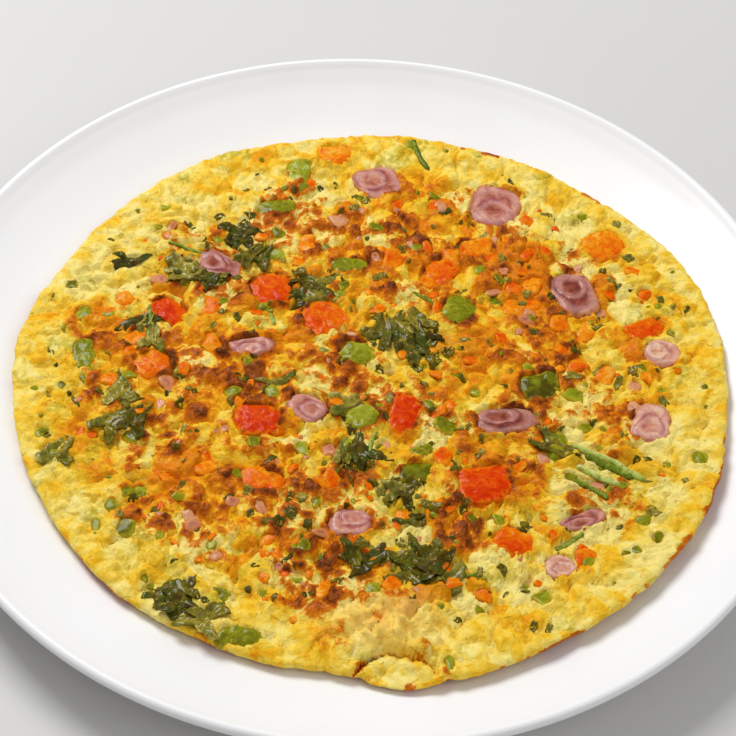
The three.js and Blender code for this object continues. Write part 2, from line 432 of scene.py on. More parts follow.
# Where the herbs stained it green
GREEN_SPOTS = [
    (-86, -48, 10, 0.5), (-84, -14, 8, 0.5), (-62, -70, 10, 0.5), (40, -26, 9, 0.5), (8, -18, 9, 0.6),
    (-5, 4, 8, 0.5), (76, -42, 13, 0.6), (32, 12, 8, 0.4), (-46, 28, 8, 0.4), (-24, 66, 11, 0.5),
    (-34, 30, 8, 0.4), (0, -48, 8, 0.4), (60, 52, 8, 0.4), (80, -32, 9, 0.4), (-14, -80, 7, 0.4),
    (13, -50, 8, 0.4),
]

# Lumps that stayed yellow
YELLOW_SPOTS = [
    (-82, 32, 12, 0.9), (-64, 58, 14, 0.7), (-44, 66, 10, 0.6), (-50, 16, 7, 1.0), (-33, 16, 7, 0.4),
    (-17, 0, 7, 0.6), (-16, -31, 8, 0.8), (-17, -17, 7, 0.8), (16, 1, 8, 0.5), (0, 17, 7, 0.4),
    (33, 63, 8, 0.6), (49, 45, 7, 0.4), (64, -33, 7, 0.5), (64, -49, 7, 0.6), (34, -49, 7, 0.5),
    (16, -62, 8, 0.5), (-80, -33, 8, 0.6), (17, -31, 8, 0.7), (31, -44, 8, 0.6), (18, -50, 7, 0.6),
    (28, -81, 13, 1.1), (-80, 32, 9, 0.4), (16, -48, 8, 0.4), (-16, -32, 7, 0.3), (-32, -80, 9, 0.7),
    (-50, -84, 10, 0.6), (-30, -64, 6, 0.5), (-49, -47, 9, 0.6), (66, 16, 9, 0.9), (82, 16, 10, 0.6),
    (64, 56, 12, 0.6), (33, 33, 7, 0.6), (33, 1, 9, 0.5), (18, 66, 8, 0.6), (-14, 66, 8, 0.6),
    (64, -22, 8, 0.7), (50, -56, 12, 0.7), (80, -66, 12, 0.7), (-2, 76, 10, 0.4),
]

# Each cluster of wilted leaves: x, y, length, width, turn in degrees and number of leaves
LEAF_CLUSTERS = [
    (-64, 39, 24, 9, -12, 6), (-71, -17, 28, 11, 105, 4), (13, 15, 25, 16, 120, 8), (1, -36, 17, 14, 100, 6),
    (16, -71, 38, 10, -8, 9), (-49, -80, 14, 9, 95, 4), (-45, -90, 15, 6, -28, 4), (-40, 53, 11, 7, 80, 3),
    (-16, 33, 19, 10, 100, 5), (60, -27, 9, 6, -25, 1), (13, -51, 14, 6, 95, 3), (-23, -6, 12, 9, 60, 2),
    (-88, -38, 8, 4, 70, 1), (-48, 38, 12, 10, 0, 4), (-33, 48, 10, 8, 60, 2), (0, -19, 11, 9, 80, 3),
    (-67, 13, 13, 5, 95, 3),
]


def front_line(x, y):
    """How far behind the puffed fold's front line a point is; below 0 is out on the tongue."""
    side = np.where(x < FRONT_X, FRONT_X - x, (x - FRONT_X) * 0.9)
    return y - FRONT_Y + 0.014 * side**2.6 + 0.5 * noise(x, y, 5, 55)


def front_share(x):
    """1 along the front line, and 0 to the left and right of it."""
    return smooth(14, 11, np.abs(x - TONGUE_X))


def broad_shape(x, y):
    """The egg's top without fine relief: thick in the middle, thinner at the edge, puffed up at the front."""
    share = polar(x, y)[1]
    puff = np.hypot((x - PUFF_X) / PUFF_HALF_WIDTH, (y - PUFF_Y) / PUFF_HALF_DEPTH)
    behind = front_line(x, y)
    tongue = front_share(x) * smooth(0.5, -0.7, behind)
    crumple = 1 - np.abs(noise(x + 0.6 * y, y, 4.6, 56)) * 2.4 + 0.6 * noise(x, y, 2.4, 57)
    crease = hump(behind + 0.3, 0.65) * front_share(x)
    nub = np.hypot(x - NUB_X, (y - NUB_Y) / 1.3) / 2.4
    return (
        egg_underside(x, y)
        + EGG_THICK
        - EGG_THINNING * smooth(0.3, 0.95, share)
        - EDGE_TAPER * smooth(0.86, 1.0, share)
        + (3.4 + 1.1 * crumple) * np.exp(-(puff**3)) * smooth(-0.7, 0.5, behind)
        - tongue * (1.9 - 1.9 * hump(behind + 3.6, 2.4))
        - 1.2 * crease
        + 2.4 * np.exp(-(nub**3))
    )


def curds(x, y):
    """The top's broad swells and its curds, folds and pits, in mm, and each large and small curd's number."""
    warp_x = x + 2.4 * noise(x, y, 9, 21) + 0.8 * noise(x, y, 3, 24)
    warp_y = y + 2.4 * noise(x, y, 9, 22) + 0.8 * noise(x, y, 3, 25)
    swell = 0.9 * layered(x, y, 22, 26, 2)
    near, second, own = cells(warp_x, warp_y, 8.5, 31)
    curd = (0.4 + own) * (1 - smooth(0.0, 0.75, near)) - 0.9 * smooth(0.16, 0.0, second - near)
    near_small, second_small, own_small = cells(warp_x + 50, warp_y, 3.9, 37)
    curd_small = (0.3 + own_small) * (1 - near_small) - 0.6 * smooth(0.22, 0.0, second_small - near_small)
    folds = 1 - np.abs(noise(warp_x, warp_y, 7.5, 41)) * 2.2
    grain = layered(x, y, 2.4, 45, 2)
    near_pit, _, own_pit = cells(x, y, 5.6, 51)
    pit = (own_pit > 0.6) * smooth(0.28, 0.1, near_pit)
    return swell, 1.35 * curd + 0.9 * curd_small + 0.5 * folds + 0.3 * grain - 0.8 * pit, own, own_small


def egg_surface(x, y):
    """Height of the egg's top, smooth and lower under the pieces and bits, with a raised lip round each."""
    share = polar(x, y)[1]
    calm = smooth(1.0, 0.93, share)
    swell, detail, _, _ = curds(x, y)
    lips, flat = BIT_LIPS.at(x, y)
    for place in FOOTPRINTS:
        near = np.hypot(x - place.x, y - place.y) < place.half_length + 8
        if not np.any(near):
            continue
        away = np.where(near, outside(place, x, y), 9.0)
        ragged = away + 1.1 * noise(x, y, 4.5, 61) + 0.7 * noise(x, y, 2.0, 62)
        lips = lips + 0.6 * hump(ragged - 0.5, 1.1) - 1.3 * smooth(0.0, -1.3, ragged)
        flat = np.maximum(flat, smooth(0.3, -0.8, ragged))
    rough = mix(0.8, 1.0, smooth(0.95, 0.75, share)) * mix(0.45, 1.0, calm)
    return broad_shape(x, y) + rough * (swell + detail * (1 - flat)) + lips * calm


# ---- the egg's mesh ----

GRID = 270  # squares across the top
SHOULDER = 0.972  # share of the edge radius where the top turns down into the side


def disc_grid(n):
    """A square grid spread evenly over a disc of radius 1: its points, faces and border in order."""
    line = np.linspace(-1, 1, n + 1)
    a, b = np.meshgrid(line, line, indexing="ij")
    wide = np.abs(a) > np.abs(b)
    safe_a = np.where(a == 0, 1e-9, a)
    safe_b = np.where(b == 0, 1e-9, b)
    radius = np.where(wide, a, b)
    angle = np.where(wide, np.pi / 4 * b / safe_a, np.pi / 2 - np.pi / 4 * a / safe_b)
    u, v = radius * np.cos(angle), radius * np.sin(angle)
    number = np.arange((n + 1) ** 2).reshape(n + 1, n + 1)
    border = np.concatenate([number[:-1, 0], number[-1, :-1], number[:0:-1, -1], number[0, :0:-1]])
    corners = [number[:-1, :-1], number[1:, :-1], number[1:, 1:], number[:-1, 1:]]
    faces = np.stack([c.ravel() for c in corners], 1)
    return u.ravel(), v.ravel(), faces.tolist(), border


def egg_points(u, v, level):
    """Points of the egg for shares (u, v) of its edge radius and level, from 0 underneath to 1 on top."""
    angle = np.arctan2(v, u)
    r = np.hypot(u, v) * edge_radius(angle)
    x, y = EGG_X + r * np.cos(angle), EGG_Y + r * np.sin(angle)
    return np.stack([x, y, mix(egg_underside(x, y), egg_surface(x, y), level)], 1)


def build_egg():
    u, v, faces, border = disc_grid(GRID)
    points = [egg_points(u * SHOULDER, v * SHOULDER, 1.0)]
    edge_angle = np.arctan2(v[border], u[border])
    ring = border
    count = len(u)
    rim = [math.pi * (0.5 - k / 9) for k in range(1, 10)]
    steps = [(SHOULDER + (1 - SHOULDER) * math.cos(a) ** 0.8, 0.5 + 0.5 * math.sin(a)) for a in rim[:-1]]
    steps += [(SHOULDER, 0.0)] + [(share, 0.0) for share in (0.93, 0.85, 0.7, 0.45)]
    for share, level in steps:
        points.append(egg_points(share * np.cos(edge_angle), share * np.sin(edge_angle), level))
        next_ring = np.arange(count, count + len(border))
        after, next_after = np.roll(ring, -1), np.roll(next_ring, -1)
        faces += np.stack([ring, next_ring, next_after, after], 1).tolist()
        ring = next_ring
        count += len(border)
    faces.append(ring[::-1].tolist())
    points = np.vstack(points)
    new_piece("egg", (points, faces, egg_masks(points, len(u))), cooked_egg(), ["omelette"])


def egg_masks(points, top_count):
    """How fried (with painted shade in crevices), how orange, green-stained, high and pale each point of the
    egg is.
    """
    x, y, z = points.T
    angle, share = polar(x, y)
    swell, height, own, own_small = curds(x, y)
    high = smooth(-0.3, 1.8, height + 0.5 * swell)
    middle = smooth(0.93, 0.72, share + 0.05 * noise(x, y, 14, 84))
    yellow = spread(YELLOW_SPOTS, x, y)
    scorch = 0.1 + 0.6 * high + 0.3 * own + 0.22 * own_small + 0.34 * layered(x, y, 5.0, 81, 2)
    browning_and_shade = fried(x, y) * scorch - 0.6 * yellow
    warm = 0.32 + 0.27 * middle + 0.95 * (own - 0.5) * (0.3 + 0.7 * middle) + 0.4 * (own_small - 0.5)
    warm = warm + 0.2 * layered(x, y, 12, 83, 3) + spread(ORANGE_SPOTS, x, y) - 0.25 * yellow
    tinted = smooth(0.2, 0.7, layered(x, y, 13, 86, 2)) * smooth(0.75, 0.3, own)
    green = (1.4 - 0.5 * middle) * tinted + spread(GREEN_SPOTS, x, y)
    specked = smooth(-0.3, 0.3, noise(x, y, 5, 89))
    for place in FOOTPRINTS:
        away = outside(place, x, y)
        halo = hump(np.clip(away, 0, None), 1.8)
        warm = warm + 0.3 * halo * place.node.startswith("tomato")
        green = green + 0.3 * halo * place.node.startswith("pepper")
        # Painted shade: brown in the crevice round each piece, and fainter in the halo about it.
        browning_and_shade = browning_and_shade + (0.2 * halo + 0.4 * middle * hump(away + 0.3, 1.0)) * specked
    herbs = [(sx, sy, math.sqrt(0.4 * length * width), 0.7) for sx, sy, length, width, _, _ in LEAF_CLUSTERS]
    green = green + spread(herbs, x, y)
    behind = front_line(x, y)
    puff = np.hypot((x - PUFF_X) / PUFF_HALF_WIDTH, (y - PUFF_Y) / (PUFF_HALF_DEPTH - 1))
    pale = np.exp(-(puff**4)) * smooth(-0.7, 0.5, behind)
    browning_and_shade = browning_and_shade + 0.3 * pale * smooth(0.1, 0.7, noise(x, y, 5, 90))
    # Painted shade: a brown line along the crease under the front fold. The burnt flecks are the egg's own.
    browning_and_shade = browning_and_shade + 0.6 * front_share(x) * hump(behind + 0.4, 0.45) + spread(BURNT_SPOTS, x, y)
    above = z - egg_underside(x, y)
    # The lower side of the edge is painted brown: partly real frying, and partly painted shade, most on the
    # right.
    right = bump(angle, -28, 34)
    spots = edge_noise(angle, 15, 91) + 0.5 * edge_noise(angle, 4, 92) + 0.35 * right
    singed_and_shaded = 0.35 + 0.65 * smooth(0.0, 0.5, spots)
    browning_and_shade = browning_and_shade + 0.75 * singed_and_shaded * smooth(0.972, 0.992, share) * (above < 2.2 + 1.2 * right)
    back = bump(angle, 72, 32) * smooth(0.966, 0.985, share) * smooth(0.05, 0.3, edge_noise(angle, 8, 93))
    browning_and_shade = browning_and_shade + 0.85 * back * (above > 1.2)
    under = (np.arange(len(x)) >= top_count) & (share < 0.99) & (above < 0.1)
    browning_and_shade = np.where(under, 0.6 + 0.3 * layered(x, y, 9, 88, 2), browning_and_shade)
    # The height also sets painted shade: the egg's material darkens the low creases, more so in the middle.
    depth = height / 5 + 0.63 - 0.18 * middle
    masks = {"browned_and_shaded": browning_and_shade, "warm": warm, "green": green, "height": depth, "pale": pale}
    return {key: np.clip(values, 0, 1) for key, values in masks.items()}


# ---- tomato, onion and pepper pieces ----
#
# A piece's grain says for each point how far it is along and across the piece, and how near the rim. An
# onion's says how much skin and how much ridge there is, where its material paints a highlight, and how
# near the rim.


def waver(angle, phase, weights):
    """Waves round an outline: two of them at the first weight, three at the next, and so on."""
    return sum(np.sin((k + 2) * angle + phase[k]) * weight for k, weight in enumerate(weights))


def rounded_block(rng, half, corner, wrinkle, bend=0.0, ragged=0.06, *, rows, columns):
    """A block with rounded corners and uneven faces, about the origin: points, faces and grain.

    half is its half length, width and thickness, and ragged the share by which its outline wavers.
    """
    lat = np.linspace(-np.pi / 2, np.pi / 2, rows + 1)[1:-1]
    lon = np.linspace(0, 2 * np.pi, columns, endpoint=False)
    lon_grid, lat_grid = np.meshgrid(lon, lat)
    lon_all = np.concatenate([[0], lon_grid.ravel(), [0]])
    lat_all = np.concatenate([[-np.pi / 2], lat_grid.ravel(), [np.pi / 2]])
    seed = int(rng.integers(1, 900))
    outline = 1 + ragged * waver(lon_all, rng.uniform(0, 2 * np.pi, 4), (1.0, 1.0, 0.7, 0.6))

    def blocky(value):
        return np.sign(value) * np.abs(value) ** (2 / corner)

    flat = np.abs(np.cos(lat_all)) ** (2 / (corner + 1.2))
    x = half[0] * outline * flat * blocky(np.cos(lon_all))
    y = half[1] * outline * flat * blocky(np.sin(lon_all))
    z = half[2] * blocky(np.sin(lat_all))
    lump = wrinkle * (noise(x + 40, y + 0.7 * z, 3.0, seed) + 0.5 * noise(x + 9, y - z, 1.3, seed + 1))
    z = z + lump * smooth(-half[2], half[2], z)
    y = y + bend * (x * x - half[0] ** 2 / 3)
    points = np.stack([x, y, z], 1)
    faces = [tuple(1 + p for p in face) for face in ring_faces(rows - 1, columns)]
    last = 1 + (rows - 2) * columns
    faces += [(0, 1 + (i + 1) % columns, 1 + i) for i in range(columns)]
    faces += [(last + columns, last + i, last + (i + 1) % columns) for i in range(columns)]
    rim = np.maximum(flat, np.abs(y) / half[1] * 0.9)
    return points, faces, np.stack([x / half[0], y / half[1], rim], 1)


def turned(points, x, y, turn):
    """Turns points about the origin and moves them to x, y; the heights stay."""
    c, s = math.cos(turn), math.sin(turn)
    px, py, pz = points.T
    return np.stack([x + px * c - py * s, y + px * s + py * c, pz], 1)


def tilted(part, rng, most):
    points, faces, grain = part
    slope = rng.uniform(-most, most, 2)
    return points + np.outer(points[:, :2] @ slope, [0, 0, 1]), faces, grain


def set_in_egg(part, place, reach, rise, shade):
    """Puts a part in the egg, its middle `rise` over the mean height of the egg's top `reach` away."""
    points, faces, grain = part
    placed = turned(points, place.x, place.y, place.turn)
    angle = np.linspace(0, 2 * np.pi, 24, endpoint=False)
    ring = egg_surface(place.x + reach * np.cos(angle), place.y + reach * np.sin(angle))
    placed[:, 2] += float(np.mean(ring)) + rise
    return placed, faces, marks(grain * [1, 1, 0], shade, grain[:, 2])


def marks(grain, shade, rim=0.0):
    """What a vegetable's material reads at each point: its grain, how light it is and how near the rim."""
    count = len(grain)
    return {"grain": grain, "shade": np.full(count, shade), "rim": np.zeros(count) + rim}


def tomato_cut(place, rng):
    half = (place.half_length + 0.5, place.half_width + 0.5, 1.9)
    block = rounded_block(rng, half, corner=3.8, wrinkle=0.3, rows=24, columns=60)
    return tilted(block, rng, 0.05), -1.75


def onion_cut(place, rng):
    """A slice through nested petals: rounded ridges one inside another, each with a line of coloured skin."""
    rows, side_rows, columns = 38, 8, 84
    share = np.concatenate([np.linspace(0.02, 1, rows), np.ones(side_rows)])[:, None]
    drop = np.concatenate([np.zeros(rows), np.linspace(0.25, 2.2, side_rows)])[:, None]
    angle = np.linspace(0, 2 * np.pi, columns, endpoint=False)[None, :]
    square = (np.abs(np.cos(angle)) ** 2.5 + np.abs(np.sin(angle)) ** 2.5) ** (-1 / 2.5)
    outline = square * (1 + waver(angle, rng.uniform(0, 2 * np.pi, 3), (0.06, 0.05, 0.03)))
    u, v = share * outline * np.cos(angle), share * outline * np.sin(angle)
    ridges, skin = 0 * u, 0 * u
    swing, lean, seed = rng.uniform(0, 2 * np.pi), rng.uniform(0.9, 1.1), int(rng.integers(1, 900))
    for size, shift in ((1.0, 0.0), (0.64, 0.34)):
        out = np.hypot(u - lean * shift * math.cos(swing), v - lean * shift * math.sin(swing)) / size
        out = out + 0.1 * noise(6 * u, 6 * v, 4.5, seed + int(10 * size)) / size**0.5
        out = out / mix(1.0, outline, size)
        ridges = ridges + 0.5 * hump(out - 0.78, 0.2) - 0.35 * hump(out - 1.04, 0.1)
        tint = smooth(1.35, 0.95, out) * smooth(0.5, 0.98, out)
        skin = np.maximum(skin, tint * (0.5 if size == 1.0 else 1.0))
    x, y = place.half_length * 1.05 * u, place.half_width * 1.05 * v
    z = 0.5 - 0.7 * share**6 + 0.28 * ridges - drop + 0.15 * noise(x, y, 3.0, int(rng.integers(1, 900)))
    y = y + 0.012 * (x * x - place.half_length**2 / 3)
    points = np.stack([x, y, z], -1).reshape(-1, 3)
    faces = [tuple(reversed(face)) for face in closed_tube(rows + side_rows, columns)]
    grain = np.stack([skin, np.clip(ridges * 2, 0, 1), share + 0 * u], -1).reshape(-1, 3)
    return tilted((points, faces, grain), rng, 0.05), -0.35


def pepper_cut(place, rng):
    half = (place.half_length + 0.4, place.half_width + 0.4, 1.7)
    block = rounded_block(rng, half, corner=3.4, wrinkle=0.25, bend=0.018, rows=22, columns=52)
    return tilted(block, rng, 0.06), -1.55


# Each makes a part (points, faces and grain) and says how far its middle is over the egg
CUTS = {"tomato": tomato_cut, "onion": onion_cut, "pepper": pepper_cut}

# How light each numbered piece is, from 0 to 1, where it isn't middling
SHADES = {
    "tomato": {
        1: 0.25, 2: 0.05, 3: 0.0, 4: 0.0, 5: 0.1, 6: 0.35,
        7: 0.9, 8: 0.45, 9: 1.0, 10: 0.85, 11: 0.75, 12: 0.7,
    },
    "onion": {2: 0.4, 3: 0.0, 4: 0.15, 7: 0.0, 8: 0.8, 10: 0.3, 11: 1.0, 12: 0.9},
    "pepper": {2: 0.9, 4: 0.0, 7: 0.7, 8: 0.8, 10: 0.2},
}


def build_set_pieces():
    finishes = {"tomato": tomato_flesh(), "onion": onion_flesh(), "pepper": pepper_flesh()}
    for order, place in enumerate(FOOTPRINTS):
        kind, number = place.node.split("_")
        part, rise = CUTS[kind](place, np.random.default_rng(500 + order))
        reach = (place.half_length + place.half_width) / 2 + 1.6
        placed = set_in_egg(part, place, reach, rise, SHADES[kind].get(int(number), 0.5))
        new_piece(place.node + "_cut", placed, finishes[kind], [place.node])


# ---- small bits scattered in the top ----


def scatter(rng, count, inner_share, outer_share, margin=0.8):
    """Random places on the egg between two shares of its edge radius, clear of the set pieces."""
    places = []
    while len(places) < count:
        share = math.sqrt(rng.uniform(inner_share**2, outer_share**2))
        angle = rng.uniform(-math.pi, math.pi)
        r = share * float(edge_radius(np.array(angle)))
        x, y = EGG_X + r * math.cos(angle), EGG_Y + r * math.sin(angle)
        on_fold = math.hypot((x - FOLD_X) / FOLD_HALF_WIDTH, (y - FOLD_Y) / FOLD_HALF_DEPTH) < 1
        if not on_fold and all(outside(place, x, y) > margin for place in FOOTPRINTS):
            places.append((x, y))
    return places


Bit = namedtuple("Bit", "kind x y length width thick turn shade seed")

# How many of each kind, between which shares of the edge radius, their lengths, and thickness to width
BIT_KINDS = {
    "tomato": (120, 0.03, 0.87, (2.2, 6.5), 0.45),
    "onion": (52, 0.03, 0.84, (2.2, 7.0), 0.35),
    "pepper": (130, 0.03, 0.96, (1.8, 6.0), 0.45),
}

BIT_SHADES = {"tomato": 0.45, "onion": 0.4, "pepper": 0.2}

# Bits at listed places: kind, and each one's x, y and length
PLACED_BITS = [
    ("tomato", [
        (-44, -41, 7), (25, -33, 7), (12, -78, 6), (66, -65, 7), (-48, 22, 8), (52, 38, 8), (46, 36, 6),
        (-75, 24, 7),
    ]),
    ("onion", [(-46, -61, 6), (50, 24, 7), (22, 71, 6), (-10, 62, 7)]),
    ("pepper", [
        (58, -29, 7), (-87, 17, 6), (-65, -63, 7), (-29, 45, 6), (54, -80, 6), (101, -28, 6), (25, -22, 6),
        (-70, -55, 5), (40, 30, 5), (64, -6, 7),
    ]),
    ("onion", [(83, 0, 5)]),
    ("pepper", [(25.5, -21.4, 8), (58, -24, 8), (-33, -98, 7), (12, 99, 5)]),
    ("tomato", [
        (20, 38, 9), (32, 53, 8), (26, 48, 7), (45, 28, 8), (52, 30, 7), (-8, -44, 7), (8, 45, 8),
        (-20, 50, 7), (74, 3, 8), (60, 22, 7), (-46, 6, 7), (-70, 8, 8), (-76, -8, 7), (36, -48, 7),
    ]),
]


def choose_bits():
    """Where every small bit lies, with the egg's rim round it stamped in the map of the top."""
    rng = np.random.default_rng(7)
    bits = []
    wanted = [(kind, x, y, length, 0.4, 0.85) for kind, group in PLACED_BITS for x, y, length in group]
    for kind, (count, inner, outer, lengths, flat) in BIT_KINDS.items():
        for x, y in scatter(rng, count, inner, outer):
            length = lengths[0] + (lengths[1] - lengths[0]) * rng.uniform() ** 1.5
            wanted.append((kind, x, y, length, flat, rng.uniform(0.45, 0.9)))
    for kind, x, y, length, flat, narrow in wanted:
        width = length * narrow
        thick = max(1.2, width * flat)
        turn, shade = rng.uniform(0, 2 * math.pi), BIT_SHADES[kind] + rng.uniform(0, 0.6)
        bits.append(Bit(kind, x, y, length, width, thick, turn, shade, int(rng.integers(1, 10**6))))
        BIT_LIPS.add(x, y, (length + width) / 4, 0.35, 0.6)
    return bits


def build_small_bits(bits):
    """Small rounded blocks, filmed with egg, the onion ones most and with faint skin and a faint painted
    highlight.
    """
    for kind in BIT_KINDS:
        marked, film = (0.2, 0.55) if kind == "onion" else (1.0, 0.12)
        parts = []
        for bit in (b for b in bits if b.kind == kind):
            rng = np.random.default_rng(bit.seed)
            half = (bit.length / 2, bit.width / 2, bit.thick / 2)
            corner, bend = rng.uniform(2.2, 3.6), rng.uniform(-0.03, 0.05)
            block = rounded_block(rng, half, corner, 0.16, bend, 0.11, rows=9, columns=18)
            points, faces, grain = tilted(block, rng, 0.18)
            part = points, faces, grain * [marked, marked, 1] + [0, 0, film]
            reach = (bit.length + bit.width) / 4 + 0.9
            rise = rng.uniform(-0.3, 0.2) - 0.5 * bit.thick
            parts.append(set_in_egg(part, bit, reach, rise, bit.shade))
        new_piece(kind + "_bits", join_parts(parts), bpy.data.materials[kind + "_flesh"])


# ---- coriander ----


def leaf(rng, size):
    """A lobed, folded, wilted leaf about the origin, stalk end first: points, faces and grain."""
    spokes, rings = 35, 9
    angle = np.linspace(-2.3, 2.3, spokes)
    teeth = 0.07 * np.sin(7 * angle + rng.uniform(0, 6)) + 0.03 * np.sin(15 * angle + rng.uniform(0, 6))
    reach = size * (0.74 + 0.2 * np.cos(3.1 * angle) + teeth) * (1 - 0.05 * angle**2)
    share = np.linspace(0.04, 1, rings)
    r = share[:, None] * reach[None, :]
    x, y = r * np.cos(angle), r * np.sin(angle)
    seed = int(rng.integers(1, 900))
    crumple = 0.07 * noise(x + 13, y, 0.45 * size, seed) + 0.03 * noise(x, y, 0.2 * size, seed + 1)
    crumple = size * crumple + rng.uniform(-0.1, 0.3) * np.abs(y)
    rib = -0.03 * size * hump(np.sin(angle * 1.55), 0.12) * share[:, None]
    edge_down = -0.04 * size * share[:, None] ** 4
    across = y * rng.uniform(0.42, 0.85) + rng.uniform(-0.06, 0.06) * x * x
    points = np.stack([x, across, crumple + rib + edge_down], -1).reshape(-1, 3)
    faces = []
    for k in range(rings - 1):
        for i in range(spokes - 1):
            a = k * spokes + i
            faces.append((a, a + spokes, a + spokes + 1, a + 1))
    grain = np.stack([x / size, y / size, 0 * x], -1).reshape(-1, 3)
    return points, faces, grain


def both_sides(points, faces, thick):
    """Gives an open sheet a back, `thick` below it, and joins the two round their border."""
    count = len(points)
    back = points - np.array([0, 0, thick])
    edges = {(a, b) for face in faces for a, b in zip(face, face[1:] + face[:1])}
    back_faces = [tuple(count + p for p in reversed(face)) for face in faces]
    joins = [(b, a, count + a, count + b) for a, b in sorted(edges) if (b, a) not in edges]
    return np.vstack([points, back]), faces + back_faces + joins


def lay_sheet(sheet, x, y, turn, lift, follow, thick):
    """Lays a sheet on the egg, and on the plate past its edge, following the relief, and thickens it."""
    points, faces, grain = sheet
    laid = turned(points, x, y, turn)
    px, py, _ = laid.T
    ground = egg_surface(px, py)
    ground = mix(float(np.mean(ground)), ground, follow)
    beyond = smooth(0.985, 1.05, polar(px, py)[1])
    laid[:, 2] += mix(ground, plate_top(np.hypot(px, py)) + 0.4, beyond) + lift
    return *both_sides(laid, faces, thick), np.vstack([grain, grain])


Leaf = namedtuple("Leaf", "x y heading size lift seed")


def choose_leaves():
    """Where every leaf lies, with a smooth floor for it in the map of the top."""
    rng = np.random.default_rng(21)
    leaves = []
    for x, y, length, width, turn, count in LEAF_CLUSTERS:
        c, s = math.cos(math.radians(turn)), math.sin(math.radians(turn))
        for k in range(count):
            along, across = rng.uniform(-0.42, 0.42) * length, rng.uniform(-0.36, 0.36) * width
            size = rng.uniform(7.0, 11.5)
            heading = math.radians(turn) + rng.normal(0, 0.9)
            at_x, at_y = x + along * c - across * s, y + along * s + across * c
            tip_x, tip_y = at_x + 0.7 * size * math.cos(heading), at_y + 0.7 * size * math.sin(heading)
            if polar(tip_x, tip_y)[1] > 0.93:
                heading += math.pi
            leaves.append(Leaf(at_x, at_y, heading, size, 0.3 + 0.7 * k / count, int(rng.integers(1, 10**6))))
            BIT_LIPS.add(at_x, at_y, 0.36 * size, 0.1, 0.0)
    return leaves


def build_leaves(leaves):
    parts = []
    for one in leaves:
        rng = np.random.default_rng(one.seed)
        points, faces, grain = leaf(rng, one.size)
        sheet = points - np.array([0.4 * one.size, 0, 0]), faces, grain
        points, faces, grain = lay_sheet(sheet, one.x, one.y, one.heading, one.lift, 0.85, 0.3)
        parts.append((points, faces, marks(grain, rng.uniform(0, 1))))
    new_piece("coriander_leaves", join_parts(parts), wilted_leaf())


def scrap(rng, size):
    """A small chopped scrap of leaf about the origin: an uneven many-sided sheet with a slight curl."""
    spokes, rings = 14, 4
    angle = np.linspace(0, 2 * np.pi, spokes, endpoint=False)
    reach = size / 2 * (1 + 0.25 * rng.uniform(-1, 1, spokes))
    share = np.linspace(0.1, 1, rings)[:, None]
    x, y = share * reach * np.cos(angle), share * reach * np.sin(angle) * rng.uniform(0.35, 0.9)
    curl = 0.05 * size * (rng.uniform(-1, 1) * share**2 * np.cos(angle + rng.uniform(0, 6)))
    faces = ring_faces(rings, spokes)
    faces.append(tuple(reversed(range(spokes))))
    points = np.stack([x, y, curl], -1).reshape(-1, 3)
    return points, [tuple(reversed(face)) for face in faces], points / size


def build_flecks():
    """Chopped scraps of leaf all over the top."""
    rng = np.random.default_rng(33)
    parts = []
    for x, y in scatter(rng, 230, 0.02, 0.85, 0.0) + scatter(rng, 22, 0.85, 0.96, 0.0):
        sheet = scrap(rng, rng.uniform(1.4, 4.6))
        points, faces, grain = lay_sheet(sheet, x, y, rng.uniform(0, 6.3), rng.uniform(0.15, 0.3), 1.0, 0.5)
        rim = 1.6 * np.hypot(grain[:, 0], grain[:, 1])
        parts.append((points, faces, marks(grain, rng.uniform(0.2, 1), rim)))
    new_piece("coriander_flecks", join_parts(parts), bpy.data.materials["wilted_leaf"])


# Stalks and strips: x, y, length, turn in degrees, width, bend and how light
STALKS = [
    (-66, 13, 18, 95, 1.5, 0.01, 0.3), (15, 95, 15, 112, 1.9, -0.01, 0.1),
    (70, -28, 15, -20, 2.4, 0.01, 0.9), (74, -32, 16, -26, 2.6, 0.005, 0.2),
    (71, -36, 15, -22, 2.4, 0.005, 1.0), (68, -40, 13, -28, 2.2, -0.01, 0.3),
    (80, -33, 11, -34, 2.4, 0.01, 0.8), (20, 28, 14, 140, 1.3, 0.02, 0.2),
    (-58, 47, 13, -20, 1.4, -0.01, 0.4), (30, -74, 12, 10, 1.4, 0.01, 0.3), (-8, 30, 11, 70, 1.4, 0.02, 0.6),
    (-46, -88, 10, 100, 1.4, 0.01, 0.5), (4, -30, 10, 80, 1.4, -0.02, 0.7),
    (62, -60, 11, 40, 1.6, 0.01, 0.6), (-30, 20, 11, 120, 1.5, 0.02, 0.7),
]


def press_stalks():
    """Smooth beds in the map of the top for the stalks."""
    for x, y, length, turn, width, bend, _ in STALKS:
        along = np.linspace(-0.5, 0.5, 2 * int(length)) * length
        line = np.stack([along, bend * (along**2 - length**2 / 12), 0 * along], 1)
        for at_x, at_y, _ in turned(line, x, y, math.radians(turn)):
            BIT_LIPS.add(at_x, at_y, width / 2 + 0.6, 0.0, 0.0)


